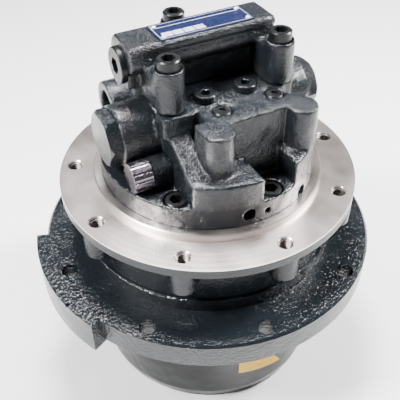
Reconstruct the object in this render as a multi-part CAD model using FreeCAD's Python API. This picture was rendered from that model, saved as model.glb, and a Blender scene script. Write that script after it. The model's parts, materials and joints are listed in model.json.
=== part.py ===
import FreeCAD, Part
import math
import os

# Excavator final drive: a swash-plate piston motor and a two-stage planetary gear in one unit.
# Frame: millimetres, +Z from the gear end to the motor end, origin at the centre of the frame
# mounting face. The spindle and motor case stand still and the hub turns round them.

Vector = FreeCAD.Vector
UP = Vector(0, 0, 1)
CENTRE = Vector(0, 0, 0)

# ---------------------------------------------------------------- driving dimensions

# Clearances
seat_gap = 0.10            # between pieces that stay still against each other
running_gap = 0.05         # radial or axial, between pieces that turn or slide
thrust_gap = 0.50          # axial play beside gears and carriers

# Frame mounting flange, on the spindle
frame_flange_width = 30.0  # from the pilot ring to the rim
frame_flange_thick = 9.0
frame_bolt_count = 9
frame_bolt_inset = 12.5    # from the rim to the bolt circle
frame_bolt_first = 21.0    # degrees from +X
frame_thread_r = 6.0       # tapping bore of an M14 thread
frame_chamfer = 1.0
frame_boss_r = 12.4
frame_boss_depth = 30.0
pilot_wall = 7.5           # from the motor cover to the outside of the pilot ring
pilot_height = 6.0
register_depth = 2.0       # how deep the motor cover sits in the pilot ring

# Spindle below the flange
skirt_step = 3.0           # how much less than the hub lip the skirt's radius is
lip_gap = 1.0              # between the skirt and the hub lip
seal_plane = -53.0         # where the two seal rings meet
seal_room = 5.0            # from the bearings' outer radius to the seal rings
seal_ring_width = 10.0
seal_ring_height = 9.5
seal_pocket_gap = 6.0      # round the seal rings, for the elastic rings
seal_pocket_depth = 11.0
elastic_ring_r = 4.25
elastic_ring_offset = 6.6
shoulder_height = 8.0      # of the spindle, behind the upper inner ring

# Main bearings, a pair of 130 x 170 angular contact ball bearings
bearing_bore_r = 65.0
bearing_outer_r = 85.0
bearing_width = 22.0
bearing_rib = 6.0          # rib of the hub between the two outer rings
race_wall = 3.65           # thinnest metal behind a ball
cage_room = 3.0            # half the space between the two rings
ball_count = 24
nut_height = 7.0
nut_width = 13.0           # from the thread to the outside
nut_slots = 4

# Motor chamber in the spindle
brake_bore_r = 66.0
brake_step_depth = 18.0    # from the frame face
disc_bore_r = 60.0
disc_bore_depth = 41.0
swash_bore_r = 49.0
chamber_depth = 92.0
nose_step = 13.0           # how much less than the bearing seat the nose's radius is
nose_length = 8.0
nose_spline_depth = 3.0
nose_spline_count = 18

# Hub
hub_lip_wall = 9.0
hub_lip_height = 12.0      # above the flange
hub_flange_width = 36.0    # from the lip to the rim
hub_flange_thick = 24.0
hub_bolt_count = 9
hub_bolt_inset = 12.0      # from the rim to the bolt circle
hub_bolt_first = 10.0
hub_bolt_r = 7.25
sprocket_pilot_step = 5.0  # how far the sprocket pilot stands out of the housing
sprocket_pilot_depth = 8.0
housing_wall = 15.375      # from the ring gear's roots to the outside
lug_height = 9.5           # beyond the rim
lug_drop = 8.0             # below the flange
lug_start = 189.0
lug_stop = 234.5
lug_notches = (198.0, 223.0)
lug_notch = 1.6

# End cover
cover_depth = 17.0
cover_edge_r = 12.0
cover_screw_count = 12
cover_screw_inset = 5.875  # from the ring gear's roots to the screw circle
cover_screw_seat = 11.5
cover_spigot_depth = 3.0
cover_wall = 10.0
cover_screw_first = 15.0
cover_screw_size = 8.0
cover_screw_length = 24.0
oil_plug_r = 8.0
oil_plug_y = 45.0
oil_plug_sink = 3.0

# Gears. Both stages share one internal ring gear.
gear_module = 2.5
pressure_angle = 25.0
addendum = 0.80            # in modules
dedendum = 1.05            # in modules
backlash = 0.20            # taken off each tooth at the pitch circle
ring_teeth = 72
sun_1_teeth = 12
planet_1_teeth = 30
sun_2_teeth = 18
planet_2_teeth = 27
planet_count = 3
planets_2_first = 90.0
planets_1_first = 30.0
planet_2_width = 20.0
planet_1_width = 14.0
pin_2_r = 12.0
pin_1_r = 8.0
plate_2_top = 7.0          # fixed carrier, plate below the spindle nose
plate_2_bottom = 5.0
plate_1_top = 5.0
plate_1_bottom = 4.0
carrier_2_r = 80.0
carrier_1_r = 66.0
carrier_hole_r = 24.0
web_gap = 2.0              # between the webs of a carrier and its planets

# Motor
shaft_r = 12.5
shaft_top_r = 10.0
shaft_end_r = 9.0
shaft_spline_r = 14.5
shaft_spline_count = 12
sun_2_bore_r = 14.0
block_r = 43.0
block_spline_r = 46.0
block_length = 50.0
piston_count = 9
piston_ring_r = 31.0
piston_r = 7.5
piston_ball_r = 5.4
motor_port_r = 4.0
shoe_r = 9.3
shoe_base = 3.4
shoe_neck_r = 7.0
swash_face = -74.0
swash_thick = 14.0
swash_r = 46.0
valve_plate_thick = 4.0
valve_plate_r = 40.0
valve_plate_bridge = 8.0   # half the metal left between the two kidney slots
disc_thick = 2.0
friction_disc_count = 3
disc_tooth_count = 6       # teeth of the steel plates, in slots of the spindle
block_tooth_count = 18     # teeth of the friction discs, on the cylinder block
brake_piston_top = -5.0
disc_spring_count = 3
disc_spring_in = 49.0
disc_spring_out = 64.0
disc_spring_thick = 1.4
disc_spring_cone = 2.2
block_room_r = 20.0        # spring room round the shaft, inside the cylinder block
block_room_low = -28.0
block_room_top = -6.0
ball_centre_rise = 8.0     # piston balls above the swash face
shoe_retainer_r = 41.5
retainer_ball_r = 20.6
retainer_lift = 8.5        # how far the retainer ball reaches into the cylinder block
pivot_half = 31.0          # swash plate pivots, either side of the shaft
pivot_y = 9.0
pivot_ball_r = 5.0
pivot_drop = 2.0
speed_piston_y = -34.0
speed_piston_r = 7.0
speed_piston_depth = 12.0

# Shaft bearings and seal
bottom_bearing_r = 26.0
bottom_bearing_width = 15.0
top_bearing_r = 23.5
top_bearing_width = 14.0
top_bearing_lift = 4.0     # above the motor cover's seat
shaft_ball_r = 4.0
shaft_ball_count = 8
shaft_seal_r = 20.0
shaft_seal_width = 9.0
shaft_hole_gap = 4.0

# Motor cover (port block), in a frame turned with the valve block
valve_angle = 28.0
cover_r = 92.5
machined_top = 25.0
pad_top = 47.0
deck_top = 83.0
valve_centre_u = 4.2
lobe_r = 12.5
left_lobe = (-25.4, -66.0)
right_lobe = (49.4, -64.0)
deck_front = -61.0
deck_left = -51.0
deck_right = 62.0
deck_back = 60.0
case_screw_inset = 11.0    # from the side of the cover to the screw circle
case_screw_angles = (75.0, 115.0, 225.0, 280.0)   # in the valve block's frame
case_screw_seat = 13.0
case_screw_size = 12.0
case_screw_length = 34.0
recess_left = -4.6         # the front recess, between two cast walls
recess_right = 32.5
right_recess_floor = 31.0
rib_left = -45.5
rib_right = -34.0
deck_plug_places = ((-14.7, -24.5), (21.0, -25.5))
sunk_plug_places = ((-9.3, -42.0), (39.0, -39.5))
deck_slot_end = (57.5, -40.5)   # a cast slot that runs out to the right
deck_slot_r = 9.5
deck_plug_r = 6.0
deck_plug_head = 8.0
deck_plug_rim = 3.3
sunk_plug_r = 7.0
deck_plug_depth = 14.0
ring_port_r = 5.2          # two drain ports in the machined ring, and two small plain holes
ring_ports = ((291.0, 15.5), (326.5, 11.0))   # degrees and height of each
ring_hole_r = 2.6
ring_holes = ((301.0, 14.5), (345.0, 14.0))
ring_port_depth = 12.0

# Pilot fitting on the left of the motor cover
adapter_n = -33.0
adapter_z = 38.0
adapter_size = 18.0
adapter_left = -61.5
adapter_stem_r = 7.0
adapter_nipple_r = 8.0
cap_left = -78.0
cap_r = 12.3
cap_flutes = 12

# Counterbalance valve and main ports, in the motor cover
bore_centre_u = 1.3
spool_bore_z = 57.0
spool_bore_n = 0.0
spool_r = 11.0
spring_chamber_r = 15.0
spring_chamber_depth = 44.0
spool_half = 50.0
spool_land = 6.0
spool_neck_r = 7.0
bore_boss_r = 25.0
bore_boss_half = 85.2
big_plug_flats = 41.0
big_plug_head = 10.0
big_plug_stem = 12.0
port_n = 45.0
port_boss_r = 20.5
port_boss_half = 73.5
port_bore_r = 12.25        # tapping bore of a 27 mm hose port
port_depth = 22.0

# Valve block on the deck
valve_left = -66.8
valve_right = 57.0
valve_top = 130.0
valve_back = 33.0
pad_front = -8.6
groove_z = 122.5
ear_bolt_n = -23.0
ear_bolt_half = 47.9
back_bolt_n = 46.5
back_bolt_u = -6.0
ear_top = 114.0
ear_r = 11.8
end_plug_n = 14.0
end_plug_z = 109.0
end_plug_r = 14.5
end_plug_out = 4.5
end_plug_stem_r = 11.0
end_plug_stem = 12.0
speed_spool_r = 8.0
speed_spool_half = 38.0
valve_screw_size = 12.0
valve_screw_length = 48.0
plate_length = 80.0
plate_width = 26.0
plate_thick = 1.0
plate_u = -1.0
plate_n = 7.7
rivet_inset = 4.0
rivet_r = 1.2
rivet_head_r = 2.2


# ---------------------------------------------------------------- small tools

def cylinder(radius, low, high, x=0.0, y=0.0):
    return Part.makeCylinder(radius, high - low, Vector(x, y, low))


def tube(inner, outer, low, high, x=0.0, y=0.0):
    return cylinder(outer, low, high, x, y).cut(cylinder(inner, low - 1, high + 1, x, y))


def box(x0, x1, y0, y1, z0, z1):
    return Part.makeBox(x1 - x0, y1 - y0, z1 - z0, Vector(x0, y0, z0))


def revolved(profile):
    """A solid of revolution about Z from (radius, height) corners."""
    corners = [Vector(r, 0, z) for r, z in profile]
    face = Part.Face(Part.makePolygon(corners + corners[:1]))
    return face.revolve(CENTRE, UP, 360)


def prism(outline, low, high):
    corners = [Vector(x, y, low) for x, y in outline]
    face = Part.Face(Part.makePolygon(corners + corners[:1]))
    return face.extrude(Vector(0, 0, high - low))


def turned(shape, degrees):
    copy = shape.copy()
    copy.rotate(CENTRE, UP, degrees)
    return copy


def moved(shape, x=0.0, y=0.0, z=0.0):
    copy = shape.copy()
    copy.translate(Vector(x, y, z))
    return copy


def around(shape, count, first=0.0):
    """Copies of a shape at equal angles about Z."""
    return [turned(shape, first + 360.0 * k / count) for k in range(count)]


def ring_point(radius, degrees):
    return radius * math.cos(math.radians(degrees)), radius * math.sin(math.radians(degrees))


def in_valve_frame(shape):
    return turned(shape, valve_angle)


def along_u(radius, start, end, n, z):
    """A cylinder whose axis runs along the valve block."""
    return Part.makeCylinder(radius, end - start, Vector(start, n, z), Vector(1, 0, 0))


def hexagon(flats, low, high, x=0.0, y=0.0):
    corner = flats / 2 / math.cos(math.radians(30))
    outline = [ring_point(corner, 30 + 60 * k) for k in range(6)]
    return moved(prism(outline, low, high), x, y)


def hexagon_along_u(flats, start, end, n, z):
    shape = hexagon(flats, 0, end - start)
    shape.rotate(CENTRE, Vector(0, 1, 0), 90)
    return moved(shape, start, n, z)


def helix_spring(radius, wire_r, low, high, turns):
    """A coil spring on the Z axis with its wire between the two heights."""
    height = high - low - 2 * wire_r
    path = Part.makeHelix(height / turns, height, radius)
    section = Part.Wire([Part.makeCircle(wire_r, Vector(radius, 0, 0), Vector(0, 1, 0))])
    coil = Part.Wire(path.Edges).makePipeShell([section], True, True)
    return moved(coil, 0, 0, low + wire_r)


def group(solids):
    return Part.makeCompound(solids)


# ---------------------------------------------------------------- gear teeth

def involute(angle):
    return math.tan(angle) - angle


def tooth_flank(teeth, radius, extra):
    """Half the angle that a tooth fills at a radius; extra thickens it at the pitch circle."""
    pitch_r = gear_module * teeth / 2
    alpha = math.radians(pressure_angle)
    base_r = pitch_r * math.cos(alpha)
    here = math.acos(base_r / radius) if radius > base_r else 0.0
    thickness = math.pi * gear_module / 2 + extra
    return thickness / (2 * pitch_r) + involute(alpha) - involute(here)


def toothed_face(teeth, tip_r, root_r, extra, phase):
    """A flat gear outline with arcs for the flanks, tips and roots; phase centres one tooth."""
    pitch_r = gear_module * teeth / 2
    base_r = pitch_r * math.cos(math.radians(pressure_angle))
    low_r = max(root_r, base_r)
    mid_r = (low_r + tip_r) / 2
    step = 2 * math.pi / teeth

    def at(radius, angle):
        return Vector(radius * math.cos(angle), radius * math.sin(angle), 0)

    edges = []
    for k in range(teeth):
        centre = math.radians(phase) + k * step
        low = tooth_flank(teeth, low_r, extra)
        mid = tooth_flank(teeth, mid_r, extra)
        tip = tooth_flank(teeth, tip_r, extra)
        if root_r < low_r - 0.01:
            edges.append(Part.makeLine(at(root_r, centre - low), at(low_r, centre - low)))
        edges.append(Part.Arc(at(low_r, centre - low), at(mid_r, centre - mid),
                              at(tip_r, centre - tip)).toShape())
        edges.append(Part.Arc(at(tip_r, centre - tip), at(tip_r, centre),
                              at(tip_r, centre + tip)).toShape())
        edges.append(Part.Arc(at(tip_r, centre + tip), at(mid_r, centre + mid),
                              at(low_r, centre + low)).toShape())
        if root_r < low_r - 0.01:
            edges.append(Part.makeLine(at(low_r, centre + low), at(root_r, centre + low)))
        start = centre + low
        end = centre + step - low
        edges.append(Part.Arc(at(root_r, start), at(root_r, (start + end) / 2),
                              at(root_r, end)).toShape())
    return Part.Face(Part.Wire(edges))


def gear(teeth, low, high, phase):
    pitch_r = gear_module * teeth / 2
    face = toothed_face(teeth, pitch_r + addendum * gear_module,
                        pitch_r - dedendum * gear_module, -backlash, phase)
    face.translate(Vector(0, 0, low))
    return face.extrude(Vector(0, 0, high - low))


def ring_gear_space(low, high):
    """The space inside the ring gear, with a tooth space centred on +X."""
    pitch_r = gear_module * ring_teeth / 2
    face = toothed_face(ring_teeth, pitch_r + dedendum * gear_module,
                        pitch_r - addendum * gear_module, backlash, 0.0)
    face.translate(Vector(0, 0, low))
    return face.extrude(Vector(0, 0, high - low))


def planet_phase(angle, planet_teeth):
    """The turn that lets a planet at this angle mesh with the ring gear."""
    return angle - angle * ring_teeth / planet_teeth


def sun_phase(first_angle, sun_teeth, planet_teeth):
    """The turn that lets the sun mesh with a planet at this angle."""
    turns = first_angle * (sun_teeth + ring_teeth) / 360 - 0.5 + planet_teeth / 2
    return turns * 360 / sun_teeth


def splined_face(root_r, tip_r, count, share):
    """A straight-sided spline outline; share is the part of each pitch that a tooth fills."""
    corners = []
    for k in range(count):
        centre = 360.0 * k / count
        half = 180.0 * share / count
        corners.append(ring_point(root_r, centre - half))
        corners.append(ring_point(tip_r, centre - half))
        corners.append(ring_point(tip_r, centre + half))
        corners.append(ring_point(root_r, centre + half))
    points = [Vector(x, y, 0) for x, y in corners]
    return Part.Face(Part.makePolygon(points + points[:1]))


def splined(root_r, tip_r, count, share, low, high):
    face = splined_face(root_r, tip_r, count, share)
    face.translate(Vector(0, 0, low))
    return face.extrude(Vector(0, 0, high - low))


# ---------------------------------------------------------------- fasteners

def cap_screw(size, seat, length, x=0.0, y=0.0, upward=True):
    """A socket head cap screw standing in +Z; the head's underside is at the seat height."""
    head_r = size * 0.75
    head = cylinder(head_r, 0, size)
    head = head.makeChamfer(size * 0.08, [e for e in head.Edges if e.BoundBox.ZMin > size - 0.01])
    socket = hexagon(size * 0.8, size * 0.4, size + 1)
    screw = head.cut(socket).fuse(cylinder(size / 2 - seat_gap, -length, 0))
    if not upward:
        screw.rotate(CENTRE, Vector(1, 0, 0), 180)
    return moved(screw, x, y, seat)


# ---------------------------------------------------------------- sizes worked out from above

pilot_r = cover_r + pilot_wall
frame_flange_r = pilot_r + frame_flange_width
frame_bolt_ring_r = frame_flange_r - frame_bolt_inset
case_screw_ring_r = cover_r - case_screw_inset
seal_ring_in = bearing_outer_r + seal_room
seal_ring_out = seal_ring_in + seal_ring_width
seal_seat_r = seal_ring_out + seal_pocket_gap
hub_lip_r = seal_seat_r + hub_lip_wall
skirt_r = hub_lip_r - skirt_step
hub_flange_r = hub_lip_r + hub_flange_width
hub_bolt_ring_r = hub_flange_r - hub_bolt_inset
lug_r = hub_flange_r + lug_height
spindle_neck_r = bearing_outer_r - 1
spindle_shoulder_r = bearing_bore_r + shoulder_height
nut_r = bearing_bore_r + nut_width
nose_r = bearing_bore_r - nose_step
ball_r = (bearing_outer_r - bearing_bore_r) / 2 - race_wall
race_land = (bearing_outer_r - bearing_bore_r) / 2 - cage_room
hub_flange_top = seal_plane - hub_lip_height
lug_bottom = hub_flange_top - hub_flange_thick - lug_drop
bearing_top = seal_plane - seal_pocket_depth
bearing_1_low = bearing_top - bearing_width
bearing_2_top = bearing_1_low - bearing_rib
bearing_2_low = bearing_2_top - bearing_width
nut_top = bearing_2_low - seat_gap
nut_low = nut_top - nut_height
nose_top = nut_low - 0.5
nose_low = nose_top - nose_length
carrier_2_high = nose_top - seat_gap
carrier_2_plate_low = nose_low - seat_gap - plate_2_top
planet_2_high = carrier_2_plate_low - thrust_gap
pin_2_high = carrier_2_plate_low + plate_2_top - 1
planet_2_low = planet_2_high - planet_2_width
carrier_2_end_high = planet_2_low - thrust_gap
carrier_2_low = carrier_2_end_high - plate_2_bottom
carrier_1_high = carrier_2_low - 2 * thrust_gap
carrier_1_plate_low = carrier_1_high - plate_1_top
planet_1_high = carrier_1_plate_low - thrust_gap
planet_1_low = planet_1_high - planet_1_width
carrier_1_end_high = planet_1_low - thrust_gap
carrier_1_low = carrier_1_end_high - plate_1_bottom
housing_end = carrier_1_low - 0.3
cover_end = housing_end - cover_depth
ring_tip_r = gear_module * (ring_teeth / 2 - addendum)
ring_root_r = gear_module * (ring_teeth / 2 + dedendum)
housing_r = ring_root_r + housing_wall
sprocket_pilot_r = housing_r + sprocket_pilot_step
cover_screw_ring_r = ring_root_r + cover_screw_inset
planet_2_ring_r = gear_module * (sun_2_teeth + planet_2_teeth) / 2
planet_1_ring_r = gear_module * (sun_1_teeth + planet_1_teeth) / 2
cover_seat = pilot_height - register_depth
block_top = cover_seat - valve_plate_thick - running_gap
block_low = block_top - block_length
bearing_mid_r = (bearing_bore_r + bearing_outer_r) / 2
bottom_bearing_top = -chamber_depth
bottom_bearing_low = bottom_bearing_top - bottom_bearing_width
top_bearing_low = cover_seat + top_bearing_lift
top_bearing_top = top_bearing_low + top_bearing_width
swash_low = swash_face - swash_thick
shaft_end_low = planet_1_low - 2.5


# ---------------------------------------------------------------- spindle side

def pivot_spheres(radius):
    """Spheres at the two pivots that the swash plate tilts on."""
    return [Part.makeSphere(radius, Vector(x, pivot_y, swash_low - pivot_drop))
            for x in (-pivot_half, pivot_half)]


def make_spindle():
    skirt_low = seal_plane + lip_gap
    pocket_top = skirt_low + seal_pocket_depth
    bearing_low = bottom_bearing_low - 1
    seal_low = bearing_low - shaft_seal_width
    profile = [
        (brake_bore_r, cover_seat), (cover_r + 2 * seat_gap, cover_seat),
        (cover_r + 2 * seat_gap, pilot_height), (pilot_r - 1, pilot_height),
        (pilot_r, pilot_height - 1), (pilot_r, 0), (frame_flange_r, 0),
        (frame_flange_r, -frame_flange_thick), (skirt_r, -frame_flange_thick),
        (skirt_r, skirt_low), (seal_seat_r, skirt_low), (seal_seat_r, pocket_top),
        (spindle_neck_r, pocket_top), (spindle_neck_r, skirt_low),
        (spindle_shoulder_r, skirt_low - 4), (spindle_shoulder_r, bearing_top),
        (bearing_bore_r, bearing_top), (bearing_bore_r, nut_low - 0.5), (nose_r, nut_low - 0.5),
        (nose_r, nose_low), (shaft_r + shaft_hole_gap, nose_low),
        (shaft_r + shaft_hole_gap, seal_low), (shaft_seal_r, seal_low), (shaft_seal_r, bearing_low),
        (bottom_bearing_r, bearing_low), (bottom_bearing_r, -chamber_depth),
        (swash_bore_r, -chamber_depth), (swash_bore_r, -disc_bore_depth),
        (disc_bore_r, -disc_bore_depth), (disc_bore_r, -brake_step_depth),
        (brake_bore_r, -brake_step_depth),
    ]
    body = revolved(profile)
    boss = cylinder(frame_boss_r, -frame_boss_depth, -1, frame_bolt_ring_r)
    bosses = around(boss, frame_bolt_count, frame_bolt_first)
    keep_out = tube(skirt_r - 1, frame_flange_r + 20, -frame_boss_depth - 1, 1)
    bosses = [b.common(keep_out) for b in bosses]
    body = body.multiFuse(bosses)
    hole = cylinder(frame_thread_r, -frame_boss_depth - 1, 1, frame_bolt_ring_r)
    mouth = Part.makeCone(frame_thread_r, frame_thread_r + frame_chamfer + 1, frame_chamfer + 1,
                          Vector(frame_bolt_ring_r, 0, -frame_chamfer))
    cuts = around(hole.fuse(mouth), frame_bolt_count, frame_bolt_first)
    slots = splined(disc_bore_r - 2, disc_bore_r + 3, disc_tooth_count, 0.25,
                    -disc_bore_depth, -brake_step_depth - 8)
    case_holes = [in_valve_frame(turned(cylinder(case_screw_size / 2, -24, cover_seat + 1,
                                                 case_screw_ring_r), angle))
                  for angle in case_screw_angles]
    body = body.cut(group(cuts)).cut(slots).cut(group(case_holes))
    teeth = splined(nose_r - 1, nose_r + nose_spline_depth, nose_spline_count, 0.5,
                    nose_low, nose_top + 0.5)
    teeth = teeth.cut(cylinder(nose_r - 5, nose_low - 1, nose_top + 1))
    seats = pivot_spheres(pivot_ball_r + seat_gap)
    seats.append(cylinder(speed_piston_r, -chamber_depth - speed_piston_depth, -chamber_depth + 1,
                          0, speed_piston_y))
    return body.fuse(teeth).cut(seats).removeSplitter()


def make_main_bearing_ring(outer):
    """Two inner rings or two outer rings, each with its ball groove."""
    rings = []
    for high in (bearing_top, bearing_2_top):
        middle = high - bearing_width / 2
        if outer:
            ring = tube(bearing_outer_r - race_land, bearing_outer_r - running_gap,
                        high - bearing_width + running_gap, high - running_gap)
        else:
            ring = tube(bearing_bore_r + running_gap, bearing_bore_r + race_land,
                        high - bearing_width + running_gap, high - running_gap)
        groove = Part.makeTorus(bearing_mid_r, ball_r + running_gap, Vector(0, 0, middle))
        rings.append(ring.cut(groove))
    return group(rings)


def ball_pocket(radius, ring_r, height):
    """The radial hole of a bearing cage that holds one ball."""
    return Part.makeCylinder(radius + running_gap, 2 * radius, Vector(ring_r - radius, 0, height),
                             Vector(1, 0, 0))


def make_cage(high):
    middle = high - bearing_width / 2
    cage = tube(bearing_mid_r - 1.6, bearing_mid_r + 1.6, middle - 9, middle + 9)
    ball = Part.makeSphere(ball_r, Vector(bearing_mid_r, 0, middle))
    pocket = ball_pocket(ball_r, bearing_mid_r, middle)
    cage = cage.cut(group(around(pocket, ball_count)))
    return group([cage] + around(ball, ball_count))


def make_bearing_nut():
    nut = tube(bearing_bore_r + seat_gap, nut_r, nut_low, nut_top)
    slot = box(nut_r - 4, nut_r + 1, -5, 5, nut_low - 1, nut_top + 1)
    return nut.cut(group(around(slot, nut_slots, 45)))


def make_seal_ring(upper):
    """A metal face-seal ring; its lapped face meets the other half at the seal plane."""
    face = running_gap / 2
    foot = 1.5
    profile = [
        (seal_ring_in, face), (seal_ring_out, face), (seal_ring_out, foot),
        (seal_ring_out - 2.8, foot + 0.8), (seal_ring_out - 3.4, seal_ring_height),
        (seal_ring_in, seal_ring_height),
    ]
    ring = revolved(profile)
    if not upper:
        ring.rotate(CENTRE, Vector(1, 0, 0), 180)
    return moved(ring, 0, 0, seal_plane)


def make_elastic_ring(upper):
    offset = elastic_ring_offset if upper else -elastic_ring_offset
    return Part.makeTorus(seal_seat_r - elastic_ring_r - seat_gap, elastic_ring_r,
                          Vector(0, 0, seal_plane + offset))


def planet_positions(count, ring_r, first):
    return [(ring_point(ring_r, first + 360.0 * k / count), first + 360.0 * k / count)
            for k in range(count)]


def carrier_webs(outer_r, planet_ring_r, planet_tip_r, low, high, first):
    """The bridges between the two plates of a carrier, clear of the planets."""
    disc = tube(carrier_hole_r, outer_r, low, high)
    for (x, y), _ in planet_positions(planet_count, planet_ring_r, first):
        disc = disc.cut(cylinder(planet_tip_r + web_gap, low - 1, high + 1, x, y))
    sun_room = cylinder(gear_module * sun_2_teeth / 2 + 4, low - 1, high + 1)
    return disc.cut(sun_room)


def make_fixed_carrier():
    outer_r = carrier_2_r
    tip_r = gear_module * (planet_2_teeth / 2 + addendum)
    top = tube(nose_r, outer_r, carrier_2_plate_low, carrier_2_high)
    floor = tube(carrier_hole_r, outer_r, carrier_2_plate_low, nose_low - seat_gap)
    top = top.fuse(floor)
    mouth = splined(nose_r + seat_gap, nose_r + nose_spline_depth + seat_gap,
                    nose_spline_count, 0.53, nose_low - seat_gap, carrier_2_high + 1)
    bottom = tube(carrier_hole_r + 2, outer_r, carrier_2_low, carrier_2_end_high)
    webs = carrier_webs(outer_r, planet_2_ring_r, tip_r, carrier_2_end_high, carrier_2_plate_low,
                        planets_2_first)
    body = top.fuse([bottom, webs]).cut(mouth)
    for (x, y), _ in planet_positions(planet_count, planet_2_ring_r, planets_2_first):
        body = body.cut(cylinder(pin_2_r, carrier_2_low - 1, pin_2_high, x, y))
    return body.removeSplitter()


def make_pins(radius, ring_r, first, low, high):
    pins = []
    for (x, y), _ in planet_positions(planet_count, ring_r, first):
        pins.append(cylinder(radius - running_gap, low, high, x, y))
    return group(pins)


def make_planet(angle, teeth, ring_r, pin_r, low, high):
    x, y = ring_point(ring_r, angle)
    wheel = gear(teeth, low, high, planet_phase(angle, teeth))
    wheel = wheel.cut(cylinder(pin_r, low - 1, high + 1))
    return moved(wheel, x, y)


# ---------------------------------------------------------------- hub

def make_hub():
    lip_top = seal_plane
    pocket_floor = seal_plane - seal_pocket_depth
    flange_low = hub_flange_top - hub_flange_thick
    profile = [
        (seal_seat_r, lip_top), (hub_lip_r - 1, lip_top), (hub_lip_r, lip_top - 1),
        (hub_lip_r, hub_flange_top), (hub_flange_r - 2, hub_flange_top),
        (hub_flange_r, hub_flange_top - 2), (hub_flange_r, flange_low),
        (sprocket_pilot_r, flange_low), (sprocket_pilot_r, flange_low - sprocket_pilot_depth),
        (housing_r, flange_low - sprocket_pilot_depth - 3), (housing_r, housing_end),
        (ring_tip_r, housing_end), (ring_tip_r, bearing_2_low - 4), (ring_tip_r + 5, bearing_2_low - 4),
        (ring_tip_r + 5, bearing_2_low - 1), (bearing_outer_r, bearing_2_low - 1),
        (bearing_outer_r, bearing_2_top), (bearing_outer_r - 6, bearing_2_top),
        (bearing_outer_r - 6, bearing_1_low), (bearing_outer_r, bearing_1_low),
        (bearing_outer_r, pocket_floor), (seal_seat_r, pocket_floor),
    ]
    body = revolved(profile)
    holes = around(cylinder(hub_bolt_r, flange_low - 1, hub_flange_top + 1, hub_bolt_ring_r),
                   hub_bolt_count, hub_bolt_first)
    lug = tube(hub_flange_r - 4, lug_r, lug_bottom, hub_flange_top)
    span = lug_stop - lug_start
    wedge = Part.Face(Part.makePolygon([CENTRE, Vector(200, 0, 0),
                                        Vector(*ring_point(200, span), 0), CENTRE]))
    wedge = wedge.extrude(Vector(0, 0, 200))
    lug = lug.common(turned(moved(wedge, 0, 0, lug_bottom - 50), lug_start))
    notches = []
    for angle in lug_notches:
        notches.append(turned(box(lug_r - 4, lug_r + 2, -lug_notch / 2, lug_notch / 2,
                                  hub_flange_top - 3, hub_flange_top + 1), angle))
    body = body.fuse(lug).cut(group(holes + notches))
    body = body.cut(ring_gear_space(housing_end - 1, bearing_2_low - 4 - 0.01))
    screw_hole = cylinder(cover_screw_size / 2, housing_end - 1, housing_end + 20, cover_screw_ring_r)
    screw_holes = around(screw_hole, cover_screw_count, cover_screw_first)
    return body.cut(group(screw_holes))


def cover_screw_places():
    return [ring_point(cover_screw_ring_r, cover_screw_first + 360.0 * k / cover_screw_count)
            for k in range(cover_screw_count)]


def make_end_cover():
    top = housing_end - seat_gap
    spigot_r = ring_tip_r - 0.5
    profile = [
        (0, cover_end + cover_wall), (60, cover_end + cover_wall), (70, top),
        (70, top + cover_spigot_depth), (spigot_r, top + cover_spigot_depth), (spigot_r, top),
        (housing_r, top), (housing_r, cover_end + cover_edge_r), (housing_r - 2, cover_end + 4),
        (housing_r - cover_edge_r, cover_end), (0, cover_end),
    ]
    body = revolved(profile)
    seats = []
    for x, y in cover_screw_places():
        seats.append(cylinder(cover_screw_size * 0.75 + 1, cover_end - 1, cover_end + cover_screw_seat, x, y))
        seats.append(cylinder(cover_screw_size / 2 + 0.3, cover_end - 1, top + 1, x, y))
    for y in (-oil_plug_y, oil_plug_y):
        seats.append(cylinder(oil_plug_r + 2, cover_end - 1, cover_end + oil_plug_sink, 0, y))
        seats.append(cylinder(oil_plug_r, cover_end - 1, top, 0, y))
    return body.cut(group(seats))


def make_sun_2():
    low = carrier_1_plate_low
    high = carrier_2_plate_low - thrust_gap
    wheel = gear(sun_2_teeth, low, high, sun_phase(planets_2_first, sun_2_teeth, planet_2_teeth))
    return wheel.cut(cylinder(sun_2_bore_r, low - 1, high + 1))


def make_sun_1():
    wheel = gear(sun_1_teeth, planet_1_low, planet_1_high,
                 sun_phase(planets_1_first, sun_1_teeth, planet_1_teeth))
    return wheel.cut(cylinder(shaft_end_r, planet_1_low - 1, planet_1_high + 1))


def make_moving_carrier():
    outer_r = carrier_1_r
    tip_r = gear_module * (planet_1_teeth / 2 + addendum)
    top = tube(sun_2_bore_r + 1, outer_r, carrier_1_plate_low, carrier_1_high)
    bottom = tube(carrier_hole_r - 2, outer_r, carrier_1_low, carrier_1_end_high)
    webs = carrier_webs(outer_r, planet_1_ring_r, tip_r, carrier_1_end_high, carrier_1_plate_low,
                        planets_1_first)
    pitch_r = gear_module * sun_2_teeth / 2
    mouth = toothed_face(sun_2_teeth, pitch_r + addendum * gear_module + seat_gap,
                         pitch_r - dedendum * gear_module + seat_gap, 0.0,
                         sun_phase(planets_2_first, sun_2_teeth, planet_2_teeth))
    mouth.translate(Vector(0, 0, carrier_1_plate_low - 1))
    mouth = mouth.extrude(Vector(0, 0, plate_1_top + 2))
    body = top.fuse([bottom, webs]).cut(mouth)
    for (x, y), _ in planet_positions(planet_count, planet_1_ring_r, planets_1_first):
        body = body.cut(cylinder(pin_1_r, carrier_1_low - 1, carrier_1_high + 1, x, y))
    return body.removeSplitter()


# ---------------------------------------------------------------- motor

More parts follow.
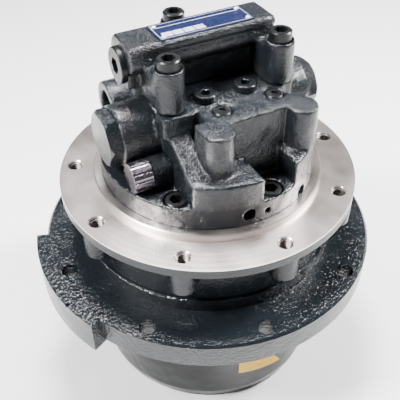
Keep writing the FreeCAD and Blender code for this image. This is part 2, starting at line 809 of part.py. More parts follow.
def make_motor_shaft():
    profile = [
        (0, top_bearing_top + 1), (shaft_top_r - 1, top_bearing_top + 1),
        (shaft_top_r, top_bearing_top), (shaft_top_r, top_bearing_low), (shaft_r, top_bearing_low - 1),
        (shaft_r, planet_1_high + 1), (shaft_end_r - seat_gap, planet_1_high + 1),
        (shaft_end_r - seat_gap, shaft_end_low + 1), (shaft_end_r - 1, shaft_end_low), (0, shaft_end_low),
    ]
    teeth = splined(shaft_r - 1, shaft_spline_r, shaft_spline_count, 0.5, block_low, block_room_low)
    return revolved(profile).fuse(teeth).removeSplitter()


def shaft_bearing_sizes():
    """Bore, outer radius, bottom and top of the two shaft bearings."""
    return (
        (shaft_top_r, top_bearing_r, top_bearing_low, top_bearing_top),
        (shaft_r, bottom_bearing_r, bottom_bearing_low, bottom_bearing_top),
    )


def make_shaft_rings(outer):
    rings = []
    for bore_r, outer_r, low, high in shaft_bearing_sizes():
        middle_r = (bore_r + outer_r) / 2
        land = (outer_r - bore_r) * 0.32
        if outer:
            ring = tube(outer_r - land, outer_r - running_gap, low + running_gap, high - running_gap)
        else:
            ring = tube(bore_r + seat_gap, bore_r + land, low + running_gap, high - running_gap)
        rings.append(ring.cut(Part.makeTorus(middle_r, shaft_ball_r + running_gap,
                                             Vector(0, 0, (low + high) / 2))))
    return group(rings)


def make_shaft_cages():
    pieces = []
    for bore_r, outer_r, low, high in shaft_bearing_sizes():
        middle_r = (bore_r + outer_r) / 2
        middle = (low + high) / 2
        cage = tube(middle_r - 1.2, middle_r + 1.2, middle - 5, middle + 5)
        pocket = ball_pocket(shaft_ball_r, middle_r, middle)
        pieces.append(cage.cut(group(around(pocket, shaft_ball_count))))
        ball = Part.makeSphere(shaft_ball_r, Vector(middle_r, 0, middle))
        pieces.extend(around(ball, shaft_ball_count))
    return group(pieces)


def make_shaft_seal():
    low = bottom_bearing_low - shaft_seal_width
    case_r = shaft_seal_r - seat_gap
    profile = [
        (shaft_r + running_gap, low + 3), (shaft_r + 1.5, low + 1), (case_r, low + 1),
        (case_r, bottom_bearing_low - 1), (case_r - 2, bottom_bearing_low - 1), (case_r - 2, low + 3),
        (shaft_r + 2.5, low + 3), (shaft_r + 2.5, low + 6), (shaft_r + running_gap, low + 4.5),
    ]
    return revolved(profile)


def make_cylinder_block():
    snout_r = block_room_r - 2
    tooth_low = -disc_bore_depth
    profile = [
        (shaft_spline_r + 2.5, block_top), (block_r - 3, block_top), (block_r, block_top - 3),
        (block_r, block_low), (snout_r + 3, block_low), (snout_r, block_low - 2),
        (snout_r, block_low - retainer_lift), (shaft_spline_r + 0.6, block_low - retainer_lift),
        (shaft_spline_r + 0.6, block_low), (shaft_r + seat_gap, block_low),
        (shaft_r + seat_gap, block_room_low), (block_room_r, block_room_low),
        (block_room_r, block_room_top), (shaft_spline_r + 2.5, block_room_top),
    ]
    body = revolved(profile)
    outer_teeth = splined(block_r - 1, block_spline_r, block_tooth_count, 0.45, tooth_low, tooth_low + 15)
    outer_teeth = outer_teeth.cut(cylinder(block_r - 2, tooth_low - 1, tooth_low + 16))
    spline_room = splined(shaft_r, shaft_spline_r + seat_gap, shaft_spline_count, 0.53,
                          block_low - 1, block_room_low + seat_gap)
    bore = cylinder(piston_r, block_low - 1, block_top - 8, piston_ring_r)
    port = cylinder(motor_port_r, block_top - 9, block_top + 1, piston_ring_r)
    bores = around(bore.fuse(port), piston_count)
    return body.fuse(outer_teeth).cut(spline_room).cut(group(bores))


def make_pistons():
    ball_z = swash_face + ball_centre_rise
    stem_low = block_low - 9
    stem_high = block_top - 16
    stem = cylinder(piston_r - running_gap, stem_low, stem_high, piston_ring_r)
    neck = cylinder(piston_r / 2, ball_z, stem_low + 1, piston_ring_r)
    ball = Part.makeSphere(piston_ball_r, Vector(piston_ring_r, 0, ball_z))
    drilling = cylinder(piston_r / 5, ball_z - piston_ball_r - 1, stem_high + 1, piston_ring_r)
    hollow = cylinder(piston_r * 0.6, block_low + 4, stem_high + 1, piston_ring_r)
    piston = stem.fuse([neck, ball]).cut(drilling).cut(hollow)
    return group(around(piston, piston_count))


def make_shoes():
    ball_z = swash_face + ball_centre_rise
    base = cylinder(shoe_r, swash_face + running_gap, swash_face + shoe_base, piston_ring_r)
    neck = cylinder(shoe_neck_r, swash_face + shoe_base - 0.5, ball_z + 3.4, piston_ring_r)
    socket = Part.makeSphere(piston_ball_r + running_gap, Vector(piston_ring_r, 0, ball_z))
    drilling = cylinder(1.0, swash_face - 1, ball_z, piston_ring_r)
    shoe = base.fuse(neck).cut(socket).cut(drilling)
    return group(around(shoe, piston_count))


def make_shoe_retainer():
    low = swash_face + shoe_base + running_gap
    plate = tube(block_room_r - 4, shoe_retainer_r, low, low + 3)
    hole = cylinder(shoe_neck_r + 0.3, low - 1, low + 4, piston_ring_r)
    guide = Part.makeSphere(retainer_ball_r + running_gap, Vector(0, 0, swash_face))
    return plate.cut(group(around(hole, piston_count))).cut(guide)


def make_retainer_ball():
    sphere = Part.makeSphere(retainer_ball_r, Vector(0, 0, swash_face))
    band = tube(shaft_spline_r + 0.6, 2 * retainer_ball_r, swash_face + 2,
                block_low - retainer_lift - seat_gap)
    return sphere.common(band)


def make_swash_plate():
    plate = tube(shaft_spline_r + 2.5, swash_r, swash_low, swash_face)
    plate = plate.makeChamfer(2.0, [e for e in plate.Edges if e.BoundBox.ZMax < swash_low + 0.01])
    return plate.cut(group(pivot_spheres(pivot_ball_r + seat_gap)))


def make_pivot_balls():
    return group(pivot_spheres(pivot_ball_r))


def make_speed_piston():
    return cylinder(speed_piston_r - running_gap, -chamber_depth - speed_piston_depth,
                    swash_low - seat_gap, 0, speed_piston_y)


def make_valve_plate():
    plate = tube(shaft_spline_r + 2.5, valve_plate_r, cover_seat - valve_plate_thick, cover_seat)
    low = cover_seat - valve_plate_thick - 1
    slot = tube(piston_ring_r - motor_port_r, piston_ring_r + motor_port_r, low, cover_seat + 1)
    half_plane = box(valve_plate_bridge, valve_plate_r, -valve_plate_r, valve_plate_r, low, cover_seat + 1)
    slot = slot.common(half_plane)
    return plate.cut([slot, turned(slot, 180)])


def brake_stack():
    """Bottom heights of the steel plates and friction discs, from the shoulder up."""
    pitch = disc_thick + running_gap
    start = -disc_bore_depth + running_gap
    heights = [start + pitch * k for k in range(2 * friction_disc_count + 1)]
    return heights[0::2], heights[1::2], heights[-1] + pitch


def make_steel_plates():
    plate_lows, _, _ = brake_stack()
    plates = []
    for low in plate_lows:
        face = splined(disc_bore_r - 0.3, disc_bore_r + 2.6, disc_tooth_count, 0.21, low, low + disc_thick)
        plates.append(face.cut(cylinder(block_spline_r + 1.5, low - 1, low + disc_thick + 1)))
    return group(plates)


def make_friction_discs():
    _, disc_lows, _ = brake_stack()
    discs = []
    for low in disc_lows:
        disc = cylinder(disc_bore_r - 1.2, low, low + disc_thick)
        mouth = splined(block_r + 0.5, block_spline_r + 0.15, block_tooth_count, 0.52,
                        low - 1, low + disc_thick + 1)
        discs.append(disc.cut(mouth))
    return group(discs)


def make_brake_piston():
    _, _, low = brake_stack()
    step = -brake_step_depth + 2.0
    profile = [
        (block_spline_r + 1.5, low), (disc_bore_r - running_gap, low), (disc_bore_r - running_gap, step),
        (brake_bore_r - running_gap, step), (brake_bore_r - running_gap, brake_piston_top),
        (block_spline_r + 2, brake_piston_top), (block_spline_r + 2, low + 8),
        (block_spline_r + 1.5, low + 8),
    ]
    return revolved(profile)


def make_brake_springs():
    """A stack of coned disc springs between the brake piston and the motor cover."""
    springs = []
    low = brake_piston_top + seat_gap
    rise = (cover_seat - seat_gap - low - disc_spring_thick - disc_spring_cone) / (disc_spring_count - 1)
    for k in range(disc_spring_count):
        base = low + k * rise
        inner, outer = (disc_spring_cone, 0) if k % 2 == 0 else (0, disc_spring_cone)
        springs.append(revolved([
            (disc_spring_in, base + inner), (disc_spring_out, base + outer),
            (disc_spring_out, base + outer + disc_spring_thick),
            (disc_spring_in, base + inner + disc_spring_thick)]))
    return group(springs)


def make_block_spring():
    return helix_spring(block_room_r - 2.4, 1.5, block_room_low + 0.2, block_room_top - 0.2, 4)


# ---------------------------------------------------------------- motor cover

def make_motor_cover():
    """The port-block casting, built in the valve block's frame and turned into place."""
    base = cylinder(cover_r - seat_gap, cover_seat, pad_top)
    front_recess = box(recess_left, recess_right, -cover_r - 5, deck_front + 3, machined_top, pad_top + 1)
    left_recess = box(-cover_r - 5, rib_left, -cover_r, 75, machined_top, pad_top + 1)
    # the right-hand port opens over this recess, so a fitting can reach it
    right_recess = box(bore_centre_u + port_boss_half, cover_r + 5, -24, 75,
                       right_recess_floor, pad_top + 1)
    base = base.cut([front_recess, left_recess, right_recess])
    front_left = (-27.0, deck_front + 10)
    deck = prism([
        (deck_left, -27), (-27, -31), front_left, (left_lobe[0] + 8, deck_front), (37, deck_front),
        (right_lobe[0] - 8, deck_front + 8), (deck_right, deck_front + 8), (deck_right, -28),
        (66, -26), (66, 30), (deck_right, deck_back), (deck_left, deck_back)],
        machined_top - 1, deck_top)
    slot = cylinder(deck_slot_r, pad_top, deck_top + 1, *deck_slot_end)
    slot = slot.fuse(box(deck_slot_end[0], cover_r, deck_slot_end[1] - deck_slot_r,
                         deck_slot_end[1] + deck_slot_r, pad_top, deck_top + 1))
    deck = deck.cut(slot)
    lobes = [cylinder(lobe_r, pad_top - 5, deck_top, *left_lobe),
             cylinder(lobe_r, pad_top - 5, deck_top, *right_lobe),
             box(left_lobe[0] - lobe_r, left_lobe[0] + lobe_r, left_lobe[1], -50, pad_top - 5, deck_top)]
    rib = Part.Face(Part.makePolygon([
        Vector(rib_left, -22, machined_top), Vector(rib_left, -22, 76), Vector(rib_left, -32, 71),
        Vector(rib_left, -76, pad_top), Vector(rib_left, -76, machined_top),
        Vector(rib_left, -22, machined_top)]))
    rib = rib.extrude(Vector(rib_right - rib_left, 0, 0))
    rib = rib.common(cylinder(cover_r - seat_gap, machined_top, deck_top))
    bosses = [
        along_u(bore_boss_r, bore_centre_u - bore_boss_half, bore_centre_u + bore_boss_half,
                spool_bore_n, spool_bore_z),
        along_u(port_boss_r, bore_centre_u - port_boss_half, bore_centre_u + port_boss_half,
                port_n, spool_bore_z),
    ]
    body = base.multiFuse([deck, rib] + lobes + bosses)
    half = bore_boss_half
    cuts = [
        along_u(spool_r, bore_centre_u - half - 1, bore_centre_u + half + 1, spool_bore_n, spool_bore_z),
    ]
    for side in (-1, 1):
        inner = bore_centre_u + side * (half - spring_chamber_depth)
        outer = bore_centre_u + side * (half + 1)
        cuts.append(along_u(spring_chamber_r, min(inner, outer), max(inner, outer),
                            spool_bore_n, spool_bore_z))
        mouth = bore_centre_u + side * (port_boss_half + 1)
        floor = bore_centre_u + side * (port_boss_half - port_depth)
        cuts.append(along_u(port_bore_r, min(mouth, floor), max(mouth, floor), port_n, spool_bore_z))
    for angle in case_screw_angles:
        x, y = ring_point(case_screw_ring_r, angle)
        cuts.append(cylinder(case_screw_size / 2 + 0.7, cover_seat - 1, pad_top, x, y))
        cuts.append(cylinder(case_screw_size * 0.75 + 1.2, case_screw_seat, deck_top - 20, x, y))
    cuts.append(cylinder(top_bearing_r, cover_seat - 1, top_bearing_top + 2))
    for x, y in deck_plug_places:
        cuts.append(cylinder(deck_plug_r, deck_top - deck_plug_depth, deck_top + 1, x, y))
    for x, y in sunk_plug_places:
        cuts.append(cylinder(sunk_plug_r + 1.6, deck_top - 3, deck_top + 1, x, y))
        cuts.append(cylinder(sunk_plug_r, deck_top - deck_plug_depth, deck_top, x, y))
    cuts.append(along_u(adapter_stem_r, rib_left - 1, rib_left + 9, adapter_n, adapter_z))
    room = adapter_size / 2 + 1
    cuts.append(box(deck_left - 1, rib_left, adapter_n - room, adapter_n + room,
                    machined_top, adapter_z + room))
    for x, y in valve_screw_places():
        cuts.append(cylinder(valve_screw_size / 2, deck_top - 22, deck_top + 1, x, y))
    body = in_valve_frame(body.cut(cuts))
    ports = []
    for places, radius in ((ring_ports, ring_port_r), (ring_holes, ring_hole_r)):
        for angle, z in places:
            port = Part.makeCylinder(radius, ring_port_depth, Vector(cover_r + 1, 0, z), Vector(-1, 0, 0))
            ports.append(turned(port, angle))
    return body.cut(ports)


def valve_screw_places():
    return [(valve_centre_u - ear_bolt_half, ear_bolt_n), (valve_centre_u + ear_bolt_half, ear_bolt_n),
            (back_bolt_u, back_bolt_n)]


def make_case_screws():
    screws = []
    for angle in case_screw_angles:
        x, y = ring_point(case_screw_ring_r, angle)
        screws.append(cap_screw(case_screw_size, case_screw_seat, case_screw_length, x, y))
    return in_valve_frame(group(screws))


def make_big_plugs():
    plugs = []
    for side in (-1, 1):
        seat = bore_centre_u + side * (bore_boss_half + seat_gap)
        outer = seat + side * big_plug_head
        inner = seat - side * big_plug_stem
        head = hexagon_along_u(big_plug_flats, min(seat, outer), max(seat, outer),
                               spool_bore_n, spool_bore_z)
        cone_low = big_plug_flats / 2 + 0.6
        cone = Part.makeCone(cone_low + big_plug_head, cone_low, big_plug_head,
                             Vector(seat, spool_bore_n, spool_bore_z), Vector(side, 0, 0))
        stem = along_u(spring_chamber_r - seat_gap, min(inner, seat), max(inner, seat),
                       spool_bore_n, spool_bore_z)
        plugs.append(head.common(cone).fuse(stem))
    return in_valve_frame(group(plugs))


def make_counterbalance_spool():
    half = spool_half
    land_r = spool_r - running_gap
    guide_r = spool_neck_r + 1
    profile = [(0, -half), (guide_r, -half), (guide_r, -half + spool_land), (land_r, -half + spool_land),
               (land_r, -24), (spool_neck_r, -22), (spool_neck_r, -10), (land_r, -8),
               (land_r, 8), (spool_neck_r, 10), (spool_neck_r, 22), (land_r, 24),
               (land_r, half - spool_land), (guide_r, half - spool_land), (guide_r, half), (0, half)]
    spool = revolved(profile)
    spool.rotate(CENTRE, Vector(0, 1, 0), 90)
    return in_valve_frame(moved(spool, bore_centre_u, spool_bore_n, spool_bore_z))


def make_counterbalance_springs():
    springs = []
    for side in (-1, 1):
        low = spool_half - spool_land + 0.5
        high = bore_boss_half - big_plug_stem - 0.2
        coil = helix_spring(11.4, 1.4, low, high, 5)
        coil.rotate(CENTRE, Vector(0, 1, 0), 90 * side)
        springs.append(moved(coil, bore_centre_u, spool_bore_n, spool_bore_z))
    return in_valve_frame(group(springs))


def socket_plug(radius, height, stem_r, stem_length, socket_flats, x=0.0, y=0.0, z=0.0):
    head = cylinder(radius, 0, height)
    head = head.makeChamfer(0.8, [e for e in head.Edges if e.BoundBox.ZMin > height - 0.01])
    stem = cylinder(stem_r - seat_gap, -stem_length, 0)
    plug = head.fuse(stem).cut(hexagon(socket_flats, height * 0.3, height + 1))
    return moved(plug, x, y, z)


def make_deck_plugs():
    return in_valve_frame(group([socket_plug(deck_plug_r + deck_plug_rim, deck_plug_head, deck_plug_r, 12.0, 7.0, x, y, deck_top)
                                 for x, y in deck_plug_places]))


def make_sunk_plugs():
    return in_valve_frame(group([socket_plug(sunk_plug_r - seat_gap, 2.2, sunk_plug_r, 10.0, 6.0,
                                             x, y, deck_top - 3) for x, y in sunk_plug_places]))


def make_pilot_adapter():
    half = adapter_size / 2
    block = box(adapter_left, rib_left - seat_gap, adapter_n - half, adapter_n + half,
                adapter_z - half, adapter_z + half)
    block = block.makeChamfer(1.2, [e for e in block.Edges if e.BoundBox.XMax < adapter_left + 0.01])
    stem = along_u(adapter_stem_r - seat_gap, rib_left - 1, rib_left + 8, adapter_n, adapter_z)
    nipple = along_u(adapter_nipple_r, adapter_left - 12, adapter_left + 1, adapter_n, adapter_z)
    return in_valve_frame(block.fuse([stem, nipple]))


def make_adapter_cap():
    length = adapter_left - cap_left - 0.5
    flutes = splined(cap_r - 1.6, cap_r, cap_flutes, 0.55, 0, length)
    cap = flutes.cut(cylinder(adapter_nipple_r + seat_gap, 3, length + 1))
    cap.rotate(CENTRE, Vector(0, 1, 0), 90)
    return in_valve_frame(moved(cap, cap_left, adapter_n, adapter_z))


# ---------------------------------------------------------------- valve block

def make_valve_block():
    wall = 1.6
    outline = [
        (wall, deck_top), (wall, 106), (pad_front + 2, 110), (pad_front, 114), (pad_front, 119),
        (pad_front + 1.5, groove_z - 1), (pad_front + 3, groove_z), (pad_front, groove_z + 1.2),
        (pad_front, valve_top - 2.5), (pad_front + 2.5, valve_top), (24, valve_top),
        (valve_back - 2, valve_top - 6), (valve_back, valve_top - 12), (valve_back, deck_top),
    ]
    corners = [Vector(valve_left, n, z) for n, z in outline]
    body = Part.Face(Part.makePolygon(corners + corners[:1]))
    body = body.extrude(Vector(valve_right - valve_left, 0, 0))
    body = body.cut(box(valve_left - 1, deck_left + 1, -40, 40, deck_top - 1, 92))
    left, right, back = valve_screw_places()
    ears = []
    for x, y in (left, right):
        ears.append(cylinder(ear_r, deck_top, ear_top, x, y))
        ears.append(box(x - ear_r, x + ear_r, y, wall + 1, deck_top, ear_top))
    ears.append(cylinder(ear_r, deck_top, ear_top, *back))
    ears.append(box(back[0] - ear_r, back[0] + ear_r, valve_back - 1, back[1], deck_top, ear_top))
    body = body.multiFuse(ears)
    hole_r = valve_screw_size / 2 + 0.7
    cuts = [cylinder(hole_r, deck_top - 1, ear_top + 1, x, y) for x, y in valve_screw_places()]
    cuts.append(along_u(speed_spool_r, valve_left - 1, valve_right + 1, end_plug_n, end_plug_z))
    for start, end in ((valve_left - 1, valve_left + end_plug_stem),
                       (valve_right - end_plug_stem, valve_right + 1)):
        cuts.append(along_u(end_plug_stem_r, start, end, end_plug_n, end_plug_z))
    cuts.append(along_u(end_plug_r + 0.7, valve_right, valve_right + 12, end_plug_n, end_plug_z))
    return in_valve_frame(body.cut(cuts).removeSplitter())


def make_valve_screws():
    return in_valve_frame(group([cap_screw(valve_screw_size, ear_top, valve_screw_length, x, y)
                                 for x, y in valve_screw_places()]))


def make_end_plugs():
    plugs = []
    for side, face in ((-1, valve_left - seat_gap), (1, valve_right + seat_gap)):
        plug = socket_plug(end_plug_r, end_plug_out, end_plug_stem_r, end_plug_stem - 2, 12.0)
        plug.rotate(CENTRE, Vector(0, 1, 0), 90 * side)
        plugs.append(moved(plug, face, end_plug_n, end_plug_z))
    return in_valve_frame(group(plugs))


def make_speed_spool():
    half = speed_spool_half
    radius = speed_spool_r - running_gap
    neck_r = speed_spool_r - 3
    profile = [(0, -half), (radius, -half), (radius, -14), (neck_r, -12), (neck_r, -4), (radius, -2),
               (radius, 10), (neck_r, 12), (neck_r, 20), (radius, 22), (radius, half), (0, half)]
    spool = revolved(profile)
    spool.rotate(CENTRE, Vector(0, 1, 0), 90)
    middle = (valve_left + valve_right) / 2
    return in_valve_frame(moved(spool, middle, end_plug_n, end_plug_z))


def make_nameplate():
    plate = box(plate_u - plate_length / 2, plate_u + plate_length / 2, plate_n - plate_width / 2,
                plate_n + plate_width / 2, valve_top, valve_top + plate_thick)
    holes = [cylinder(rivet_r + seat_gap, valve_top - 1, valve_top + 3, x, y) for x, y in rivet_places()]
    return in_valve_frame(plate.cut(holes))


def rivet_places():
    return [(plate_u + sx * (plate_length / 2 - rivet_inset), plate_n + sy * (plate_width / 2 - rivet_inset))
            for sx in (-1, 1) for sy in (-1, 1)]


def make_rivets():
    rivets = []
    for x, y in rivet_places():
        plate_top = valve_top + plate_thick
        head = Part.makeSphere(rivet_head_r, Vector(x, y, plate_top - 0.8))
        head = head.common(cylinder(rivet_head_r + 1, plate_top, plate_top + rivet_head_r, x, y))
        rivets.append(head.fuse(cylinder(rivet_r, valve_top + running_gap, plate_top + 0.1, x, y)))
    return in_valve_frame(group(rivets))


def make_cover_screws():
    return group([cap_screw(cover_screw_size, cover_end + cover_screw_seat, cover_screw_length,
                            x, y, upward=False) for x, y in cover_screw_places()])


def make_oil_plugs():
    plugs = []
    for y in (-oil_plug_y, oil_plug_y):
        plug = socket_plug(oil_plug_r + 1.8, 2.6, oil_plug_r, 4.0, 8.0)
        plug.rotate(CENTRE, Vector(1, 0, 0), 180)
        plugs.append(moved(plug, 0, y, cover_end + oil_plug_sink))
    return group(plugs)


# ---------------------------------------------------------------- parts list

parts = {
    "spindle": make_spindle(),
    "main_bearing_inner_rings": make_main_bearing_ring(False),
    "main_bearing_outer_rings": make_main_bearing_ring(True),
    "upper_bearing_cage": make_cage(bearing_top),
    "lower_bearing_cage": make_cage(bearing_2_top),
    "bearing_nut": make_bearing_nut(),
    "seal_ring_upper": make_seal_ring(True),
    "seal_ring_lower": make_seal_ring(False),
    "elastic_ring_upper": make_elastic_ring(True),
    "elastic_ring_lower": make_elastic_ring(False),
    "fixed_carrier": make_fixed_carrier(),
    "fixed_carrier_pins": make_pins(pin_2_r, planet_2_ring_r, planets_2_first,
                                    carrier_2_low, pin_2_high),
    "hub": make_hub(),
    "end_cover": make_end_cover(),
    "end_cover_screws": make_cover_screws(),
    "oil_plugs": make_oil_plugs(),
    "moving_carrier": make_moving_carrier(),
    "moving_carrier_pins": make_pins(pin_1_r, planet_1_ring_r, planets_1_first,
                                     carrier_1_low, carrier_1_high),
    "sun_gear_2": make_sun_2(),
    "sun_gear_1": make_sun_1(),
    "motor_shaft": make_motor_shaft(),
    "shaft_bearing_inner_rings": make_shaft_rings(False),
    "shaft_bearing_outer_rings": make_shaft_rings(True),
    "shaft_bearing_cages": make_shaft_cages(),
    "shaft_seal": make_shaft_seal(),
    "cylinder_block": make_cylinder_block(),
    "pistons": make_pistons(),
    "slipper_shoes": make_shoes(),
    "shoe_retainer": make_shoe_retainer(),
    "retainer_ball": make_retainer_ball(),
    "block_spring": make_block_spring(),
    "swash_plate": make_swash_plate(),
    "pivot_balls": make_pivot_balls(),
    "speed_piston": make_speed_piston(),
    "valve_plate": make_valve_plate(),
    "brake_steel_plates": make_steel_plates(),
    "friction_discs": make_friction_discs(),
    "brake_piston": make_brake_piston(),
    "brake_disc_springs": make_brake_springs(),
    "motor_cover": make_motor_cover(),
    "case_screws": make_case_screws(),
    "counterbalance_plugs": make_big_plugs(),
    "counterbalance_spool": make_counterbalance_spool(),
    "counterbalance_springs": make_counterbalance_springs(),
    "deck_plugs": make_deck_plugs(),
    "sunk_plugs": make_sunk_plugs(),
    "pilot_adapter": make_pilot_adapter(),
    "adapter_cap": make_adapter_cap(),
    "valve_block": make_valve_block(),
    "valve_block_screws": make_valve_screws(),
    "spool_end_plugs": make_end_plugs(),
    "speed_spool": make_speed_spool(),
    "nameplate": make_nameplate(),
    "nameplate_rivets": make_rivets(),
}

for k in range(planet_count):
    angle = planets_2_first + 120.0 * k
    parts["planet_2_" + "abc"[k]] = make_planet(angle, planet_2_teeth, planet_2_ring_r, pin_2_r,
                                                planet_2_low, planet_2_high)
for k in range(planet_count):
    angle = planets_1_first + 120.0 * k
    parts["planet_1_" + "abc"[k]] = make_planet(angle, planet_1_teeth, planet_1_ring_r, pin_1_r,
                                                planet_1_low, planet_1_high)

os.makedirs("parts", exist_ok=True)
for name, shape in parts.items():
    shape.exportStep("parts/" + name + ".step")
    print(name, len(shape.Solids), "solids, valid" if shape.isValid() else "solids, NOT VALID")
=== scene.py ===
import json
import math

import bmesh
import bpy
from mathutils import Matrix, Vector


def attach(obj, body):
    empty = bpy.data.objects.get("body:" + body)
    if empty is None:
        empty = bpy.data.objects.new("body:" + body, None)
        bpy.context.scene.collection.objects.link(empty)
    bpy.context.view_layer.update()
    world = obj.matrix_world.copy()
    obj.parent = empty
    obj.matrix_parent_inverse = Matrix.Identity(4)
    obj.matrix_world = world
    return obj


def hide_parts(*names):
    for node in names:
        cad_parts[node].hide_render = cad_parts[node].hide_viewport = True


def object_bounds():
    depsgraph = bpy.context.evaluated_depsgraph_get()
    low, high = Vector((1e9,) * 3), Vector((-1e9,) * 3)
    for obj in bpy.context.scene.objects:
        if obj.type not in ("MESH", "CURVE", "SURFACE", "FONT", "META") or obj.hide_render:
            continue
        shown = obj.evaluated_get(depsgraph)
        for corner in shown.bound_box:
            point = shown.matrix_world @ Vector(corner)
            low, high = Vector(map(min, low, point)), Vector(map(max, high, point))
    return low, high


bl_info = {
    "name": "Final drive finishes",
    "version": (1, 0, 0),
    "blender": (4, 5, 0),
    "location": "3D View > Sidebar > Final drive",
    "description": "Finishes and trim for a tracked excavator's final drive",
    "category": "Object",
}

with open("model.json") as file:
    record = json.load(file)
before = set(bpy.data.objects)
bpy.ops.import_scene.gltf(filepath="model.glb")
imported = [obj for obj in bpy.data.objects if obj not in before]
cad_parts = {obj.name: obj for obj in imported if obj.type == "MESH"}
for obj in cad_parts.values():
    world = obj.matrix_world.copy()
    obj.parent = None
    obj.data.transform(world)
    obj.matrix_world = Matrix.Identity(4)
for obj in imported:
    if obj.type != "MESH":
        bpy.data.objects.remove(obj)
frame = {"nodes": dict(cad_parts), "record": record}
CAD_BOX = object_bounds()
MM = 0.001
VALVE_TURN = math.radians(28.0)      # the valve block stands turned by this much
PLATE_U, PLATE_N = -1.0, 7.7         # middle of the rating plate, in the valve block's frame
EAR_PLACES = ((-43.7, -23.0), (52.1, -23.0), (-6.0, 46.5))
FITTING_SHIFT = -7.0                 # the pilot fitting stands this much further to the left
FLANGE_BOTTOM = -98.0                # underside of the sprocket flange
MACHINED_TOP = 26.0                  # below this the port block is turned, above it cast
RING_R = 92.4                        # outside of the port block's turned ring
HOUSING_R = 108.0                    # outside of the gear housing
HOLE_R = 6.0                         # tapping radius of the frame flange's holes


def valve_point(u, n, z):
    """A point given in millimetres along, across and above the valve block's frame."""
    x = u * math.cos(VALVE_TURN) - n * math.sin(VALVE_TURN)
    y = u * math.sin(VALVE_TURN) + n * math.cos(VALVE_TURN)
    return Vector((x, y, z)) * MM


# ------------------------------------------------------------ colours and shader nodes

def linear(code):
    """An sRGB hex colour as linear red, green and blue."""
    shares = [int(code[k:k + 2], 16) / 255 for k in (1, 3, 5)]
    return [c / 12.92 if c <= 0.04045 else ((c + 0.055) / 1.055) ** 2.4 for c in shares]


def new_material(name):
    """An empty material with its shader, and the place on the object that patterns read."""
    material = bpy.data.materials.new(name)
    material.use_nodes = True
    tree = material.node_tree
    shader = tree.nodes["Principled BSDF"]
    place = tree.nodes.new("ShaderNodeTexCoord").outputs["Object"]
    return material, tree, shader, place


def feed(tree, node, into):
    """Gives a node's inputs a value each, or another node's output."""
    for socket, value in into.items():
        if isinstance(value, bpy.types.NodeSocket):
            tree.links.new(value, node.inputs[socket])
        else:
            node.inputs[socket].default_value = value


def add(tree, kind, into, **settings):
    """Adds a node with its settings, values and links."""
    node = tree.nodes.new(kind)
    for key, value in settings.items():
        setattr(node, key, value)
    feed(tree, node, into)
    return node


def patches(tree, place, across_mm, low, high, first=0.0, last=1.0, detail=4.0):
    """Soft patches of about this size: below low they give first, above high last."""
    cloud = add(tree, "ShaderNodeTexNoise", {"Vector": place, "Scale": 1000 / across_mm, "Detail": detail,
                                             "Roughness": 0.62})
    spread = add(tree, "ShaderNodeMapRange", {"Value": cloud.outputs["Fac"], "From Min": low,
                                              "From Max": high, "To Min": first, "To Max": last})
    return spread.outputs["Result"]


def tinted(tree, share, first, second):
    """A colour that goes from the first to the second as the share goes from 0 to 1."""
    mix = add(tree, "ShaderNodeMix", {0: share, 6: colour_value(first), 7: colour_value(second)},
              data_type="RGBA")
    return mix.outputs[2]


def colour_value(colour):
    return colour if isinstance(colour, bpy.types.NodeSocket) else (*colour, 1.0)


def relief(tree, shader, layers):
    """Bump layers, each a (height, depth in millimetres) pair."""
    normal = None
    for height, depth_mm in layers:
        into = {"Height": height, "Strength": 1.0, "Distance": depth_mm * MM}
        if normal:
            into["Normal"] = normal
        normal = add(tree, "ShaderNodeBump", into).outputs["Normal"]
    feed(tree, shader, {"Normal": normal})


def above(tree, place, height_mm, fade_mm=0.25):
    """1 above a height on the object and 0 below it."""
    parts = add(tree, "ShaderNodeSeparateXYZ", {"Vector": place})
    step = add(tree, "ShaderNodeMapRange", {"Value": parts.outputs["Z"], "From Min": (height_mm - fade_mm) * MM,
                                            "From Max": (height_mm + fade_mm) * MM})
    return step.outputs["Result"]


def within(tree, flat, centre, half):
    """1 inside a rectangle on a plane and 0 outside it; sizes are in millimetres."""
    parts = add(tree, "ShaderNodeSeparateXYZ", {"Vector": flat})
    shares = []
    for axis, middle, reach in zip("XY", centre, half):
        away = add(tree, "ShaderNodeMath", {0: parts.outputs[axis], 1: middle * MM}, operation="SUBTRACT")
        size = add(tree, "ShaderNodeMath", {0: away.outputs[0]}, operation="ABSOLUTE")
        shares.append(add(tree, "ShaderNodeMath", {0: size.outputs[0], 1: reach * MM},
                          operation="LESS_THAN").outputs[0])
    return add(tree, "ShaderNodeMath", {0: shares[0], 1: shares[1]}, operation="MULTIPLY").outputs[0]


# ------------------------------------------------------------ what a user may change

def size(name, about, default_mm):
    return bpy.props.FloatProperty(name=name, description=about, default=default_mm * MM,
                                   subtype="DISTANCE", unit="LENGTH")


def paint(name, about, code):
    return bpy.props.FloatVectorProperty(name=name, description=about, default=linear(code),
                                         subtype="COLOR", min=0.0, max=1.0)


class DriveFinishes(bpy.types.PropertyGroup):
    """Colours of the drive."""
    enamel: paint("Enamel", "Gloss black enamel on the castings", "#14181C")
    steel: paint("Turned steel", "Bare turned frame flange", "#F0E8E4")
    zinc: paint("Zinc plate", "Cap of the pilot fitting", "#9C949D")
    plate: paint("Plate", "Printed face of the rating plate", "#121B3C")
    strip: paint("Strip", "Blank strip on the gear housing", "#D9A90A")


class DriveSizes(bpy.types.PropertyGroup):
    """Size of the casting skin's grid."""
    grid: size("Skin grid", "Grid that the cast skins are rebuilt on", 1.15)


# ------------------------------------------------------------ finishes

